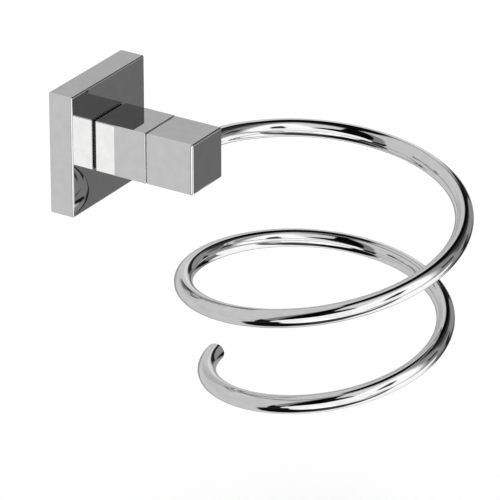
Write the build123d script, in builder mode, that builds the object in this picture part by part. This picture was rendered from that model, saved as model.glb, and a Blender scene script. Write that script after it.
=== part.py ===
from build123d import *
import os
from math import cos, pi, radians, sin

# Wall-mounted hair dryer holder: a square rose, a square post with an end block,
# and a round rod wound into a leaning spiral that tapers downwards.
# Frame: the wall is the plane Y = 0 and the arm points along -Y, +X is to the right
# when facing the wall, +Z is up. The origin is the centre of the rose on the wall.
# All lengths in millimetres.

# ---- rose (the cover on the wall) ----
rose_side = 50.0
rose_depth = 10.4
rose_wall = 2.0
rose_front_wall = 2.4
edge_radius = 0.6

# ---- arm ----
bar_side = 21.0
base_ring_side = 19.4
base_ring_thickness = 0.7
post_length = 22.8
post_edge_radius = 0.4
neck_side = 18.4
neck_thickness = 0.4
block_length = 20.9
block_edge_radius = 0.8
block_joint_edge_radius = 0.4

# ---- spiral rod ----
rod_diameter = 7.2
rod_end_break = 0.3
shank_start_x = -5.0
shank_end_x = 13.0
spiral_axis_x = 13.2
spiral_radii = (51.1, 54.6, 48.0, 46.0)
spiral_turns = 1.975
first_drop_per_turn = 52.0
drop_easing = 4.3
lean_about_y = radians(3.1)
lean_about_x = radians(-0.9)
first_wound_turn = 0.1
points_per_turn = 16
direction_step = 1 / 360

# ---- wall bracket ----
bracket_thickness = 2.0
bracket_width = 34.0
bracket_depth = 7.2
bracket_top = 22.7
bracket_bottom = -17.9
fold_inner_radius = 0.8
slot_spacing = 24.0
slot_width = 4.5
slot_length = 7.0

# ---- fasteners ----
tie_bolt_radius = 3.0
tie_bolt_length = 33.5
tie_head_radius = 5.25
tie_head_height = 3.3
tie_head_dome = 1.6
tie_hex = 4.0
tie_hex_depth = 2.0
tie_clearance_radius = 3.3
washer_thickness = 1.6
washer_inner_radius = 3.15
washer_outer_radius = 5.6
washer_split = 0.8
dowel_radius = 1.5
dowel_length = 8.0
dowel_offset = 6.5
dowel_break = 0.3
grub_radius = 1.95
grub_length = 6.2
grub_hex = 2.0
grub_hex_depth = 2.4
grub_point_break = 0.5
grub_recess = 0.6
grub_y = -5.0
boss_width = 9.0
boss_top = -18.6
boss_back = 2.4
set_screw_length = 6.0
running_gap = 0.05
bolt_end_gap = 0.2

# ---- places along the arm ----
rose_inner_face = rose_depth - rose_front_wall
post_start = rose_depth + base_ring_thickness
neck_start = post_start + post_length
block_start = neck_start + neck_thickness
block_middle = block_start + block_length / 2
head_seat = rose_inner_face - washer_thickness
tie_bolt_end = head_seat + tie_bolt_length
rod_radius = rod_diameter / 2
rear_dowel_depth = dowel_length - rose_front_wall - base_ring_thickness + running_gap
front_dowel_depth = (dowel_length - neck_thickness) / 2 + running_gap
turn_stations = (0.0, 2 / 3, 4 / 3, 2.0)


def save(piece, name):
    piece.part.label = name
    export_step(piece.part, f"parts/{name}.step")


def hexagon_radius(across_flats):
    return across_flats / 2 / cos(pi / 6)


def radius_at(turn):
    """Smooth cubic through the four given radii, evenly spaced over two turns."""
    total = 0.0
    for station, radius in zip(turn_stations, spiral_radii):
        weight = 1.0
        for other in turn_stations:
            if other != station:
                weight *= (turn - other) / (station - other)
        total += weight * radius
    return total


def spiral_point(turn):
    """Centre of the rod after this many turns, with the spiral's lean applied."""
    angle = pi / 2 - 2 * pi * turn
    radius = radius_at(turn)
    drop = (first_drop_per_turn - drop_easing * turn) * turn
    local = Vector(radius * cos(angle), radius * sin(angle) - spiral_radii[0], -drop)
    x = local.X * cos(lean_about_y) - local.Z * sin(lean_about_y)
    z = local.X * sin(lean_about_y) + local.Z * cos(lean_about_y)
    y = local.Y * cos(lean_about_x) - z * sin(lean_about_x)
    z = local.Y * sin(lean_about_x) + z * cos(lean_about_x)
    return Vector(spiral_axis_x + x, y - block_middle, z)


os.makedirs("parts", exist_ok=True)

# ---- rose_cover: open at the back, with a boss for the grub screw ----
with BuildPart() as rose_cover:
    with BuildSketch(Plane.XZ):
        Rectangle(rose_side, rose_side)
    extrude(amount=rose_depth)
    outer_edges = rose_cover.edges() - rose_cover.faces().sort_by(Axis.Y)[-1].edges()
    fillet(outer_edges, edge_radius)
    with BuildSketch(Plane.XZ):
        Rectangle(rose_side - 2 * rose_wall, rose_side - 2 * rose_wall)
    extrude(amount=rose_inner_face, mode=Mode.SUBTRACT)
    with BuildSketch(Plane.XZ.offset(boss_back)):
        with Locations((0, (boss_top - rose_side / 2 + rose_wall) / 2)):
            Rectangle(boss_width, boss_top + rose_side / 2 - rose_wall)
    extrude(amount=rose_inner_face - boss_back)
    with BuildSketch(Plane.XZ.offset(rose_inner_face)):
        Circle(tie_clearance_radius)
        with Locations((dowel_offset, 0)):
            Circle(dowel_radius + running_gap)
    extrude(amount=rose_front_wall, mode=Mode.SUBTRACT)
    with BuildSketch(Plane.XY.offset(-rose_side / 2)):
        with Locations((0, grub_y)):
            Circle(grub_radius + running_gap)
    extrude(amount=boss_top + rose_side / 2, mode=Mode.SUBTRACT)
save(rose_cover, "rose_cover")

# ---- wall_bracket: plate on the wall with a flange folded forward at top and bottom ----
with BuildPart() as wall_bracket:
    with BuildSketch(Plane.YZ) as bracket_profile:
        with BuildLine():
            Polyline(
                (-bracket_depth, bracket_top),
                (0, bracket_top),
                (0, bracket_bottom),
                (-bracket_depth, bracket_bottom),
                (-bracket_depth, bracket_bottom + bracket_thickness),
                (-bracket_thickness, bracket_bottom + bracket_thickness),
                (-bracket_thickness, bracket_top - bracket_thickness),
                (-bracket_depth, bracket_top - bracket_thickness),
                close=True,
            )
        make_face()
        inner_corners = bracket_profile.vertices().group_by(Axis.X)[1]
        fillet(inner_corners, fold_inner_radius)
        outer_corners = bracket_profile.vertices().group_by(Axis.X)[-1]
        fillet(outer_corners, fold_inner_radius + bracket_thickness)
    extrude(amount=bracket_width / 2, both=True)
    with BuildSketch(Plane.XZ):
        with GridLocations(slot_spacing, 0, 2, 1):
            SlotOverall(slot_length, slot_width)
    extrude(amount=bracket_thickness, mode=Mode.SUBTRACT)
save(wall_bracket, "wall_bracket")

# ---- rose_grub_screw: flat-point socket screw, its tip under the bracket's lower flange ----
with BuildPart() as rose_grub_screw:
    with BuildSketch(Plane.XY.offset(-rose_side / 2 + grub_recess)):
        with Locations((0, grub_y)):
            Circle(grub_radius)
    extrude(amount=grub_length)
    chamfer(rose_grub_screw.edges().sort_by(Axis.Z)[-1], grub_point_break)
    with BuildSketch(Plane.XY.offset(-rose_side / 2 + grub_recess)):
        with Locations((0, grub_y)):
            RegularPolygon(hexagon_radius(grub_hex), 6)
    extrude(amount=grub_hex_depth, mode=Mode.SUBTRACT)
save(rose_grub_screw, "rose_grub_screw")

# ---- post_base_ring: recessed spacer between the rose and the post ----
with BuildPart() as post_base_ring:
    with BuildSketch(Plane.XZ.offset(rose_depth)):
        Rectangle(base_ring_side, base_ring_side)
        Circle(tie_clearance_radius, mode=Mode.SUBTRACT)
        with Locations((dowel_offset, 0)):
            Circle(dowel_radius + running_gap, mode=Mode.SUBTRACT)
    extrude(amount=base_ring_thickness)
save(post_base_ring, "post_base_ring")

# ---- post: square bar, bored for the tie bolt, with a dowel hole at each end ----
with BuildPart() as post:
    with BuildSketch(Plane.XZ.offset(post_start)):
        Rectangle(bar_side, bar_side)
    extrude(amount=post_length)
    fillet(post.edges(), post_edge_radius)
    with BuildSketch(Plane.XZ.offset(post_start)):
        Circle(tie_clearance_radius)
    extrude(amount=post_length, mode=Mode.SUBTRACT)
    with BuildSketch(Plane.XZ.offset(post_start)):
        with Locations((dowel_offset, 0)):
            Circle(dowel_radius + running_gap)
    extrude(amount=rear_dowel_depth, mode=Mode.SUBTRACT)
    with BuildSketch(Plane.XZ.offset(neck_start - front_dowel_depth)):
        with Locations((-dowel_offset, 0)):
            Circle(dowel_radius + running_gap)
    extrude(amount=front_dowel_depth, mode=Mode.SUBTRACT)
save(post, "post")

# ---- block_joint_ring: narrow neck between the post and the end block ----
with BuildPart() as block_joint_ring:
    with BuildSketch(Plane.XZ.offset(neck_start)):
        Rectangle(neck_side, neck_side)
        Circle(tie_clearance_radius, mode=Mode.SUBTRACT)
        with Locations((-dowel_offset, 0)):
            Circle(dowel_radius + running_gap, mode=Mode.SUBTRACT)
    extrude(amount=neck_thickness)
save(block_joint_ring, "block_joint_ring")

# ---- end_block: bored from its right side for the rod, from behind for the tie bolt
#      and from below for the set screw ----
with BuildPart() as end_block:
    with BuildSketch(Plane.XZ.offset(block_start)):
        Rectangle(bar_side, bar_side)
    extrude(amount=block_length)
    outer_edges = end_block.edges() - end_block.faces().sort_by(Axis.Y)[-1].edges()
    fillet(outer_edges, block_edge_radius)
    fillet(end_block.faces().sort_by(Axis.Y)[-1].edges(), block_joint_edge_radius)
    with BuildSketch(Plane.YZ.offset(shank_start_x - running_gap)):
        with Locations((-block_middle, 0)):
            Circle(rod_radius + running_gap)
    extrude(amount=bar_side / 2 - shank_start_x + running_gap, mode=Mode.SUBTRACT)
    with BuildSketch(Plane.XZ.offset(block_start)):
        Circle(tie_bolt_radius + running_gap)
    extrude(amount=tie_bolt_end + bolt_end_gap - block_start, mode=Mode.SUBTRACT)
    with BuildSketch(Plane.XZ.offset(block_start)):
        with Locations((-dowel_offset, 0)):
            Circle(dowel_radius + running_gap)
    extrude(amount=front_dowel_depth, mode=Mode.SUBTRACT)
    with BuildSketch(Plane.XY.offset(-bar_side / 2)):
        with Locations((0, -block_middle)):
            Circle(grub_radius + running_gap)
    extrude(amount=bar_side / 2, mode=Mode.SUBTRACT)
save(end_block, "end_block")

# ---- rod_set_screw: flat-point socket screw under the rod's shank ----
with BuildPart() as rod_set_screw:
    with BuildSketch(Plane.XY.offset(-bar_side / 2 + grub_recess)):
        with Locations((0, -block_middle)):
            Circle(grub_radius)
    extrude(amount=set_screw_length)
    chamfer(rod_set_screw.edges().sort_by(Axis.Z)[-1], grub_point_break)
    with BuildSketch(Plane.XY.offset(-bar_side / 2 + grub_recess)):
        with Locations((0, -block_middle)):
            RegularPolygon(hexagon_radius(grub_hex), 6)
    extrude(amount=grub_hex_depth, mode=Mode.SUBTRACT)
save(rod_set_screw, "rod_set_screw")

# ---- tie_bolt: domed socket screw from inside the rose through the post ----
with BuildPart() as tie_bolt:
    with BuildSketch(Plane.XZ.offset(head_seat - tie_head_height)):
        Circle(tie_head_radius)
    extrude(amount=tie_head_height)
    fillet(tie_bolt.edges().sort_by(Axis.Y)[-1], tie_head_dome)
    with BuildSketch(Plane.XZ.offset(head_seat)):
        Circle(tie_bolt_radius)
    extrude(amount=tie_bolt_length)
    chamfer(tie_bolt.edges().sort_by(Axis.Y)[0], grub_point_break)
    with BuildSketch(Plane.XZ.offset(head_seat - tie_head_height)):
        RegularPolygon(hexagon_radius(tie_hex), 6)
    extrude(amount=tie_hex_depth, mode=Mode.SUBTRACT)
save(tie_bolt, "tie_bolt")

# ---- tie_lock_washer: split washer under the bolt's head ----
with BuildPart() as tie_lock_washer:
    with BuildSketch(Plane.XZ.offset(head_seat)):
        Circle(washer_outer_radius)
        Circle(washer_inner_radius, mode=Mode.SUBTRACT)
        with Locations((0, washer_outer_radius)):
            Rectangle(washer_split, 2 * washer_outer_radius, mode=Mode.SUBTRACT)
    extrude(amount=washer_thickness)
save(tie_lock_washer, "tie_lock_washer")

# ---- dowels: one at each end of the post ----
for dowel_name, dowel_x, dowel_start in (
    ("rose_dowel", dowel_offset, rose_inner_face),
    ("block_dowel", -dowel_offset, neck_start - (dowel_length - neck_thickness) / 2),
):
    with BuildPart() as dowel:
        with BuildSketch(Plane.XZ.offset(dowel_start)):
            with Locations((dowel_x, 0)):
                Circle(dowel_radius)
        extrude(amount=dowel_length)
        chamfer(dowel.edges().filter_by(GeomType.CIRCLE), dowel_break)
    save(dowel, dowel_name)

# ---- spiral_rod: straight shank in the block, then the wound part ----
wound_points = []
wound_steps = round((spiral_turns - first_wound_turn) * points_per_turn)
for step in range(wound_steps + 1):
    turn = first_wound_turn + (spiral_turns - first_wound_turn) * step / wound_steps
    wound_points.append(spiral_point(turn))
shank_start = Vector(shank_start_x, -block_middle, 0)
shank_end = Vector(shank_end_x, -block_middle, 0)
end_direction = spiral_point(spiral_turns) - spiral_point(spiral_turns - direction_step)

with BuildPart() as spiral_rod:
    with BuildLine() as rod_path:
        Line(shank_start, shank_end)
        Spline(shank_end, *wound_points, tangents=[(1, 0, 0), end_direction], tangent_scalars=(1, 1))
    with BuildSketch(Plane.YZ.offset(shank_start_x)):
        with Locations((-block_middle, 0)):
            Circle(rod_radius)
    sweep(path=rod_path.wires()[0])
    rod_ends = spiral_rod.faces().filter_by(GeomType.PLANE)
    chamfer(rod_ends.edges(), rod_end_break)
save(spiral_rod, "spiral_rod")
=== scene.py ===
import math

import bmesh
import bpy
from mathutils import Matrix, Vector


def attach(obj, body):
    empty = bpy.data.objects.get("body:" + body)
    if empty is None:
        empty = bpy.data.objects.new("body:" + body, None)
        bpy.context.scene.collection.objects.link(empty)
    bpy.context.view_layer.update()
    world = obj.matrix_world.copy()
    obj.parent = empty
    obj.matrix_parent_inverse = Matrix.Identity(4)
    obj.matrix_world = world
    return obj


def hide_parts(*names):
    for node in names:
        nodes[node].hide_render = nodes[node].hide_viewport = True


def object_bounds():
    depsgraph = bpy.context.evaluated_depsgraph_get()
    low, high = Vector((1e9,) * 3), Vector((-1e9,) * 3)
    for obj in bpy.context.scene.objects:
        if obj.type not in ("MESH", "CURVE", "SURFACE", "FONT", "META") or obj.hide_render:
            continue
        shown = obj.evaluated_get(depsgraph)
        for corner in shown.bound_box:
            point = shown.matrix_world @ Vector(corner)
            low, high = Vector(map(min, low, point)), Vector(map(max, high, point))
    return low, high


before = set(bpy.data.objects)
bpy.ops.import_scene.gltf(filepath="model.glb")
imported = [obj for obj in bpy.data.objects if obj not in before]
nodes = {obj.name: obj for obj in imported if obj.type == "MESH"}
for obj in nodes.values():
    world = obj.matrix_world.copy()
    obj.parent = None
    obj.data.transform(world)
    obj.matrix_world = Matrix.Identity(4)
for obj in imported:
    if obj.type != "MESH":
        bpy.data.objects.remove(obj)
cad_low, cad_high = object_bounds()


# ---------------------------------------------------------------- directions and node trees
def direction(azimuth, elevation):
    """The unit vector from the object: azimuth 0 is towards -Y and 90 towards +X, in degrees."""
    azimuth, elevation = math.radians(azimuth), math.radians(elevation)
    flat = math.cos(elevation)
    return Vector((math.sin(azimuth) * flat, -math.cos(azimuth) * flat, math.sin(elevation)))


def grey(value):
    return (value, value, value, 1.0)


# Most of a noise texture's values lie between these two.
NOISE_LOW = 0.25
NOISE_HIGH = 0.75


class Tree:
    """Short calls for building a node tree. In a material, scales are per metre."""

    def __init__(self, tree):
        self.tree = tree
        self.tree.nodes.clear()

    def add(self, kind, **settings):
        node = self.tree.nodes.new(kind)
        for key, value in settings.items():
            setattr(node, key, value)
        return node

    def join(self, source, target):
        self.tree.links.new(source, target)

    def put(self, socket, value):
        """Join another node's output to the socket, or set a plain value on it."""
        if hasattr(value, "is_output"):
            self.join(value, socket)
        else:
            socket.default_value = value

    def multiply(self, first, second):
        node = self.add("ShaderNodeMath", operation="MULTIPLY")
        self.put(node.inputs[0], first)
        self.put(node.inputs[1], second)
        return node.outputs[0]

    def dot(self, ray, vector):
        node = self.add("ShaderNodeVectorMath", operation="DOT_PRODUCT")
        self.join(ray, node.inputs[0])
        node.inputs[1].default_value = vector
        return node.outputs["Value"]

    def mix(self, share, first, second):
        node = self.add("ShaderNodeMix", data_type="FLOAT")
        self.put(node.inputs[0], share)
        self.put(node.inputs[2], first)
        self.put(node.inputs[3], second)
        return node.outputs[0]

    def ramp(self, value, low, high):
        """0 below low, 1 above high, smooth between."""
        node = self.add("ShaderNodeMapRange", interpolation_type="SMOOTHSTEP")
        self.put(node.inputs["Value"], value)
        self.put(node.inputs["From Min"], low)
        self.put(node.inputs["From Max"], high)
        return node.outputs["Result"]

    def noise(self, place, scale, detail=2.0):
        node = self.add("ShaderNodeTexNoise")
        self.join(place, node.inputs["Vector"])
        node.inputs["Scale"].default_value = scale
        node.inputs["Detail"].default_value = detail
        return node.outputs["Fac"]

    def uneven(self, place, scale, middle, spread, detail=2.0):
        """A number that wanders by about spread on each side of middle."""
        node = self.add("ShaderNodeMapRange")
        self.put(node.inputs["Value"], self.noise(place, scale, detail))
        node.inputs["From Min"].default_value = NOISE_LOW
        node.inputs["From Max"].default_value = NOISE_HIGH
        node.inputs["To Min"].default_value = middle - spread
        node.inputs["To Max"].default_value = middle + spread
        return node.outputs["Result"]

    def stretched(self, place, scale, turn):
        node = self.add("ShaderNodeMapping")
        self.join(place, node.inputs["Vector"])
        node.inputs["Rotation"].default_value = turn
        node.inputs["Scale"].default_value = scale
        return node.outputs["Vector"]

    def bump(self, heights, distance, normal=None):
        """The surface's normal with these heights added, on top of an earlier bump if given."""
        node = self.add("ShaderNodeBump")
        node.inputs["Strength"].default_value = 1.0
        node.inputs["Distance"].default_value = distance
        self.join(heights, node.inputs["Height"])
        if normal is not None:
            self.join(normal, node.inputs["Normal"])
        return node.outputs["Normal"]


# ---------------------------------------------------------------- camera
CAMERA_DIRECTION = (-57.92, 25.26)
CAMERA_DISTANCE = 1.736
CAMERA_LENS = 326.0
CAMERA_LOOKS_AT = Vector((0.0093, -0.0685, -0.0375))


def make_camera():
    data = bpy.data.cameras.new("camera")
    data.lens = CAMERA_LENS
    camera = bpy.data.objects.new("camera", data)
    bpy.context.scene.collection.objects.link(camera)
    back = direction(*CAMERA_DIRECTION)
    camera.location = CAMERA_LOOKS_AT + back * CAMERA_DISTANCE
    camera.rotation_mode = "QUATERNION"
    camera.rotation_quaternion = (-back).to_track_quat("-Z", "Y")
    bpy.context.scene.camera = camera


# ---------------------------------------------------------------- studio
# Diffuse surfaces are lit by an even white world. The polished metal mirrors a room of even
# brightness with these soft-edged panels on a sphere round the object. Each has its corners as
# (azimuth, elevation), the softness of its edges, both in degrees, and its brightness. A later
# panel covers an earlier one. A panel's sides are great circles, and the panel is what lies inside
# all of them. That trims side_grey on both sides of its slightly concave corner, (66, -33).
PLAIN_BRIGHTNESS = 1.15
ROOM_BRIGHTNESS = 0.82
ROOM_PATCH_SCALE = 2.2
ROOM_UNEVENNESS = 0.09
PANELS = {
    "upper_light": (
        [(-70, 14), (-72, 62), (-30, 76), (20, 74), (30, 50), (30, 0)], 6, 0.98),
    "white_front": (
        [(-40, -14), (-44, 24), (-14, 58), (18, 58), (22, 4), (2, -14)], 5, 1.49),
    "left_black": (
        [(-116, -46), (-110, 8), (-86, 10), (-86, -46)], 1.0, 0.004),
    "left_softbox": (
        [(-99, -37), (-100, -9), (-90, 6), (-58, 20), (-30, 20), (-22, 0), (-24, -37)], 1.2, 1.4),
    "softbox_core": (
        [(-72, -36), (-72, -18), (-52, -20), (-50, -36)], 3, 2.1),
    "smudge": (
        [(-22, 10), (-20, 24), (-10, 38), (-2, 32), (-8, 12)], 2, 0.08),
    "side_grey": (
        [(26, -16), (26, 66), (70, 78), (112, 60), (106, -28), (66, -33), (46, -33)], 6, 0.36),
    "zenith": (
        [(-92, 62), (-120, 80), (150, 80), (90, 62), (20, 72), (-50, 72)], 6, 0.16),
    "side_dark": (
        [(54, 30), (56, 66), (96, 76), (120, 50), (106, 22)], 6, 0.04),
    "side_band": (
        [(94, -26), (92, 36), (105, 36), (103, -26)], 1.2, 0.02),
    "ring_left": (
        [(57, -12), (60, 6), (66, 10), (69, 8), (68, -14)], 1.5, 0.03),
    "ring_below": (
        [(66, -24), (66, -10), (92, -10), (92, -28)], 2, 0.06),
    "low_band": (
        [(66, -24), (66, -12), (106, -20), (106, -38), (86, -40), (70, -34)], 1.5, 0.01),
    "overhead_right": (
        [(-91, 80), (165, 76), (121, 54), (113, 32), (96, 30), (60, 62), (-60, 83)], 1.2, 0.004),
    "column_shade": (
        [(-107, 0), (-108, 60), (-96, 74), (-95, 0)], 2, 0.3),
    "overhead_left": (
        [(-97, 5), (-97, 88), (-66, 86), (-65, 50), (-65, 17)], 1.0, 0.003),
    "wedge": (
        [(-70, 16), (-72, 48), (-48, 38), (-42, 27)], 1.2, 0.012),
    "floor_dark_left": (
        [(-160, -70), (-126, -36), (-106, -16), (-92, -18), (-90, -44), (-80, -86)], 2, 0.03),
    "floor_dark": (
        [(-92, -86), (-92, -40), (-30, -40), (6, -44), (10, -86)], 2.5, 0.07),
    "floor_patch": (
        [(-16, -50), (-8, -20), (3, -22), (4, -50)], 3, 0.16),
    "floor_black": (
        [(-152, -64), (-118, -34), (-98, -28), (-70, -46), (-60, -66)], 1.5, 0.006),
    "floor_white_left": (
        [(4, -74), (3, -20), (46, -7), (50, -22), (52, -74)], 1.2, 1.46),
    "floor_white_right": (
        [(30, -80), (48, -38), (66, -37), (110, -46), (150, -58), (150, -80)], 2.5, 1.34),
    "front_flag": (
        [(51, -34), (50, -18), (68, -18), (68, -34)], 2, 0.2),
    "top_flag": (
        [(50, 18), (50, 35), (68, 35), (68, 18)], 2, 0.15),
    "light_column": (
        [(108, -44), (107, 36), (116, 37), (130, -44)], 1.5, 0.98),
    "top_patch": (
        [(116, 18), (116, 36), (134, 36), (134, 18)], 3, 0.62),
    "behind": (
        [(87, -25), (97, -4), (122, 2), (147, -4), (157, -25), (150, -50), (122, -60), (94, -50)],
        6, 0.42),
    "rose_dark": (
        [(31, 12), (31, 26), (45, 26), (45, 12)], 1.5, 0.06),
    "back_smudge": (
        [(138, 8), (138, 30), (160, 36), (166, 10)], 6, 0.62),
}


def panel_mask(t, ray, corners, softness):
    """1 inside the panel, 0 outside it, with soft edges."""
    points = [direction(*corner) for corner in corners]
    middle = sum(points, Vector())
    soft = math.sin(math.radians(softness))
    mask = None
    for first, second in zip(points, points[1:] + points[:1]):
        inward = first.cross(second).normalized()
        if inward.dot(middle) < 0:
            inward.negate()
        side = t.ramp(t.dot(ray, inward), -soft, soft)
        mask = side if mask is None else t.multiply(mask, side)
    return mask


def white_background(t, brightness):
    node = t.add("ShaderNodeBackground")
    node.inputs["Color"].default_value = grey(1.0)
    t.put(node.inputs["Strength"], brightness)
    return node.outputs[0]


def make_studio():
    world = bpy.data.worlds.new("studio")
    bpy.context.scene.world = world
    world.use_nodes = True
    t = Tree(world.node_tree)
    ray = t.add("ShaderNodeTexCoord").outputs["Generated"]
    brightness = ROOM_BRIGHTNESS
    for corners, softness, panel_brightness in PANELS.values():
        mask = panel_mask(t, ray, corners, softness)
        brightness = t.mix(mask, brightness, panel_brightness)
    patches = t.uneven(ray, ROOM_PATCH_SCALE, middle=1.0, spread=ROOM_UNEVENNESS)
    brightness = t.multiply(brightness, patches)
    choose = t.add("ShaderNodeMixShader")
    t.join(t.add("ShaderNodeLightPath").outputs["Is Glossy Ray"], choose.inputs[0])
    t.join(white_background(t, PLAIN_BRIGHTNESS), choose.inputs[1])
    t.join(white_background(t, brightness), choose.inputs[2])
    t.join(choose.outputs[0], t.add("ShaderNodeOutputWorld").inputs["Surface"])


FLOOR_DROP = 0.06
FLOOR_HALF = 3.0
FLOOR_GREY = 0.93
FLOOR_ROUGHNESS = 0.9


def make_floor():
    """A plain floor below the object, which the metal doesn't mirror."""
    mesh = bpy.data.meshes.new("floor")
    height = cad_low.z - FLOOR_DROP
    corners = [
        (x * FLOOR_HALF, y * FLOOR_HALF, height) for x, y in ((-1, -1), (1, -1), (1, 1), (-1, 1))
    ]
    mesh.from_pydata(corners, [], [(0, 1, 2, 3)])
    floor = bpy.data.objects.new("floor", mesh)
    bpy.context.scene.collection.objects.link(floor)
    floor.visible_glossy = False
    material = bpy.data.materials.new("floor_paint")
    material.use_nodes = True
    shader = material.node_tree.nodes["Principled BSDF"]
    shader.inputs["Base Color"].default_value = grey(FLOOR_GREY)
    shader.inputs["Roughness"].default_value = FLOOR_ROUGHNESS
    mesh.materials.append(material)


# ---------------------------------------------------------------- materials
CHROME = (0.64, 0.642, 0.638)
# The neck ring's metal is much darker than the chrome: painted shade for the recessed joint
# between post and end block.
NECK_METAL_PAINTED_SHADE = (0.35, 0.35, 0.36)
ZINC = (0.60, 0.61, 0.62)
SCREW_STEEL = (0.55, 0.55, 0.56)
SPRING_STEEL = (0.50, 0.50, 0.51)
DOWEL_STEEL = (0.58, 0.58, 0.59)
BLACK_PLASTIC = (0.012, 0.012, 0.013)


def new_material(name):
    material = bpy.data.materials.new(name)
    material.use_nodes = True
    t = Tree(material.node_tree)
    shader = t.add("ShaderNodeBsdfPrincipled")
    t.join(shader.outputs[0], t.add("ShaderNodeOutputMaterial").inputs[0])
    return material, t, shader, t.add("ShaderNodeTexCoord").outputs["Object"]


def tinted(t, place, colour, scale, spread):
    """The colour with a faint cloudiness of its own."""
    node = t.add("ShaderNodeVectorMath", operation="SCALE")
    node.inputs[0].default_value = colour
    t.join(t.uneven(place, scale, middle=1.0, spread=spread), node.inputs["Scale"])
    return node.outputs[0]


def polished(name, colour, roughness, wave, wave_scale, grit=0.0):
    """Chrome plate: cloudy polish over slow waves, and fine grit where grit's depth is given."""
    material, t, shader, place = new_material(name)
    shader.inputs["Metallic"].default_value = 1.0
    clouds = tinted(t, place, colour, scale=260.0, spread=0.035)
    sheen = t.uneven(place, scale=180.0, middle=roughness, spread=roughness * 0.5, detail=3.0)
    normal = t.bump(t.noise(place, wave_scale, detail=1.0), wave)
    if grit:
        normal = t.bump(t.noise(place, scale=1400.0), grit, normal)
    t.join(clouds, shader.inputs["Base Color"])
    t.join(sheen, shader.inputs["Roughness"])
    t.join(normal, shader.inputs["Normal"])
    return material


def drawn(name, colour, roughness, stretch, turn=(0.0, 0.0, 0.0), depth=0.000004):
    """Satin metal whose grain is longest in the direction that stretch scales least."""
    material, t, shader, place = new_material(name)
    shader.inputs["Metallic"].default_value = 1.0
    grain = t.stretched(place, stretch, turn)
    streaks = tinted(t, grain, colour, scale=1.0, spread=0.08)
    sheen = t.uneven(place, scale=90.0, middle=roughness, spread=roughness * 0.25, detail=3.0)
    t.join(streaks, shader.inputs["Base Color"])
    t.join(sheen, shader.inputs["Roughness"])
    t.join(t.bump(t.noise(grain, scale=1.0), depth), shader.inputs["Normal"])
    return material


def moulded(name, colour):
    """Moulded plastic: fine spark texture and a slightly uneven sheen."""
    material, t, shader, place = new_material(name)
    clouds = tinted(t, place, colour, scale=300.0, spread=0.2)
    sheen = t.uneven(place, scale=240.0, middle=0.5, spread=0.08)
    t.join(clouds, shader.inputs["Base Color"])
    t.join(sheen, shader.inputs["Roughness"])
    t.join(t.bump(t.noise(place, scale=2500.0), distance=0.00002), shader.inputs["Normal"])
    return material


def paint_nodes():
    """Every CAD node that shows as it is gets its finish."""
    chrome = polished("bar_chrome", CHROME, roughness=0.012, wave=0.00004, wave_scale=35.0)
    # Neck ring: chrome darkened and dulled to paint the shade inside the recessed joint.
    neck = polished(
        "neck_chrome", NECK_METAL_PAINTED_SHADE, roughness=0.1, wave=0.00002, wave_scale=60.0, grit=0.000002
    )
    spacer = moulded("joint_black", BLACK_PLASTIC)
    bracket = drawn("bracket_zinc", ZINC, roughness=0.34, stretch=(60.0, 900.0, 900.0))
    screw = drawn("screw_steel", SCREW_STEEL, roughness=0.28, stretch=(700.0, 700.0, 120.0))
    bolt = drawn("bolt_steel", SCREW_STEEL, roughness=0.26, stretch=(700.0, 120.0, 700.0))
    dowel = drawn("dowel_steel", DOWEL_STEEL, roughness=0.22, stretch=(900.0, 120.0, 900.0))
    spring = drawn("spring_steel", SPRING_STEEL, roughness=0.38, stretch=(500.0, 500.0, 500.0))
    finishes = {
        "rose_cover": chrome,
        "post": chrome,
        "end_block": chrome,
        "block_joint_ring": neck,
        "post_base_ring": spacer,
        "wall_bracket": bracket,
        "rose_grub_screw": screw,
        "rod_set_screw": screw,
        "tie_bolt": bolt,
        "tie_lock_washer": spring,
        "rose_dowel": dowel,
        "block_dowel": dowel,
    }
    for name, material in finishes.items():
        slots = nodes[name].data.materials
        slots.clear()
        slots.append(material)


# ---------------------------------------------------------------- spiral rod
# One smooth tube of the CAD's diameter on the CAD's path, apart from the bend between the shank
# and the first wound point, where a cubic stands in for the CAD's spline. Lengths are in metres.
ROD_RADIUS = 0.0036
ROD_END_BREAK = 0.0003
SHANK_START = Vector((-0.005, -0.04475, 0.0))
SHANK_END = Vector((0.013, -0.04475, 0.0))
SHANK_DIRECTION = Vector((1, 0, 0))
SPIRAL_AXIS_X = 0.0132
SPIRAL_RADII = (0.0511, 0.0546, 0.048, 0.046)
TURN_STATIONS = (0.0, 2 / 3, 4 / 3, 2.0)
SPIRAL_TURNS = 1.975
FIRST_WOUND_TURN = 0.1
FIRST_DROP_PER_TURN = 0.052
DROP_EASING = 0.0043
LEAN_ABOUT_Y = math.radians(3.1)
LEAN_ABOUT_X = math.radians(-0.9)
DIRECTION_STEP = 0.001
RINGS_PER_TURN = 240
BEND_RINGS = 24
TUBE_SIDES = 72


def radius_at(turn):
    """The spiral's radius: the cubic through SPIRAL_RADII at TURN_STATIONS."""
    total = 0.0
    for station, radius in zip(TURN_STATIONS, SPIRAL_RADII):
        weight = 1.0
        for other in TURN_STATIONS:
            if other != station:
                weight *= (turn - other) / (station - other)
        total += weight * radius
    return total


def spiral_point(turn):
    """A point on the rod's middle line, this many turns from the shank."""
    angle = math.pi / 2 - 2 * math.pi * turn
    radius = radius_at(turn)
    across = radius * math.cos(angle)
    along = radius * math.sin(angle) - SPIRAL_RADII[0]
    drop = (FIRST_DROP_PER_TURN - DROP_EASING * turn) * turn
    x = across * math.cos(LEAN_ABOUT_Y) + drop * math.sin(LEAN_ABOUT_Y)
    z = across * math.sin(LEAN_ABOUT_Y) - drop * math.cos(LEAN_ABOUT_Y)
    y = along * math.cos(LEAN_ABOUT_X) - z * math.sin(LEAN_ABOUT_X)
    z = along * math.sin(LEAN_ABOUT_X) + z * math.cos(LEAN_ABOUT_X)
    return Vector((SPIRAL_AXIS_X + x, y + SHANK_END.y, z))


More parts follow.
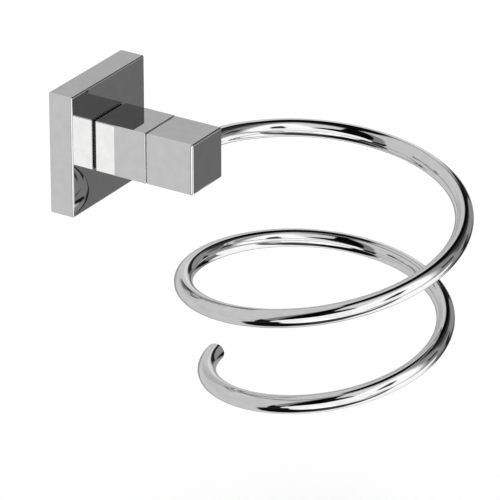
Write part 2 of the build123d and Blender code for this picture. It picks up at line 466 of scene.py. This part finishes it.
def cubic_point(start, end, start_pull, end_pull, u):
    """A point at share u of the cubic that leaves start and reaches end as the pulls say."""
    return (
        start * (2 * u ** 3 - 3 * u ** 2 + 1) + end * (3 * u ** 2 - 2 * u ** 3)
        + start_pull * (u ** 3 - 2 * u ** 2 + u) + end_pull * (u ** 3 - u ** 2)
    )


def rod_line():
    """Points along the middle of the rod: its shank, its bend and its wound part."""
    shank = SHANK_END - SHANK_START
    points = [SHANK_START + shank * step / BEND_RINGS for step in range(BEND_RINGS)]
    wound_start = spiral_point(FIRST_WOUND_TURN)
    winding = (spiral_point(FIRST_WOUND_TURN + DIRECTION_STEP) - wound_start).normalized()
    reach = (wound_start - SHANK_END).length
    points += [
        cubic_point(
            SHANK_END, wound_start, SHANK_DIRECTION * reach, winding * reach, step / BEND_RINGS
        )
        for step in range(BEND_RINGS)
    ]
    wound = SPIRAL_TURNS - FIRST_WOUND_TURN
    count = round(wound * RINGS_PER_TURN)
    points += [spiral_point(FIRST_WOUND_TURN + wound * step / count) for step in range(count + 1)]
    return points


def rod_rings():
    """Each ring of the tube as (middle, tangent, radius), smaller where the ends are broken."""
    middle = rod_line()
    ahead = [(b - a).normalized() for a, b in zip(middle, middle[1:])]
    tangents = [ahead[0]] + [(a + b).normalized() for a, b in zip(ahead, ahead[1:])] + [ahead[-1]]
    return [
        (middle[0], tangents[0], ROD_RADIUS - ROD_END_BREAK),
        (middle[0] + tangents[0] * ROD_END_BREAK, tangents[0], ROD_RADIUS),
        *((point, tangent, ROD_RADIUS) for point, tangent in zip(middle[1:-1], tangents[1:-1])),
        (middle[-1] - tangents[-1] * ROD_END_BREAK, tangents[-1], ROD_RADIUS),
        (middle[-1], tangents[-1], ROD_RADIUS - ROD_END_BREAK),
    ]


def make_rod():
    made = bmesh.new()
    loops = []
    side = Vector((0, 0, 1))
    for point, tangent, radius in rod_rings():
        side = (side - tangent * side.dot(tangent)).normalized()
        other = tangent.cross(side)
        loops.append([
            made.verts.new(point + (side * math.cos(a) + other * math.sin(a)) * radius)
            for a in (2 * math.pi * k / TUBE_SIDES for k in range(TUBE_SIDES))
        ])
    for near, far in zip(loops, loops[1:]):
        for k in range(TUBE_SIDES):
            after = (k + 1) % TUBE_SIDES
            made.faces.new((near[k], near[after], far[after], far[k])).smooth = True
    for loop in (loops[0][::-1], loops[-1]):
        made.faces.new(loop).material_index = 1
    for loop in (loops[0], loops[1], loops[-2], loops[-1]):
        for k in range(TUBE_SIDES):
            made.edges.get((loop[k], loop[(k + 1) % TUBE_SIDES])).smooth = False
    bmesh.ops.recalc_face_normals(made, faces=made.faces)
    mesh = bpy.data.meshes.new("spiral_tube")
    made.to_mesh(mesh)
    made.free()
    mesh.materials.append(
        polished("rod_chrome", CHROME, roughness=0.01, wave=0.00001, wave_scale=60.0)
    )
    mesh.materials.append(drawn(
        "rod_end_metal", CHROME, roughness=0.16,
        stretch=(900.0, 900.0, 90.0), turn=(0.6, 0.3, 0.0), depth=0.000008,
    ))
    tube = bpy.data.objects.new("spiral_tube", mesh)
    bpy.context.scene.collection.objects.link(tube)
    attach(tube, "arm")
    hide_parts("spiral_rod")


bpy.context.scene.view_settings.view_transform = "Standard"
make_camera()
make_studio()
make_floor()
paint_nodes()
make_rod()
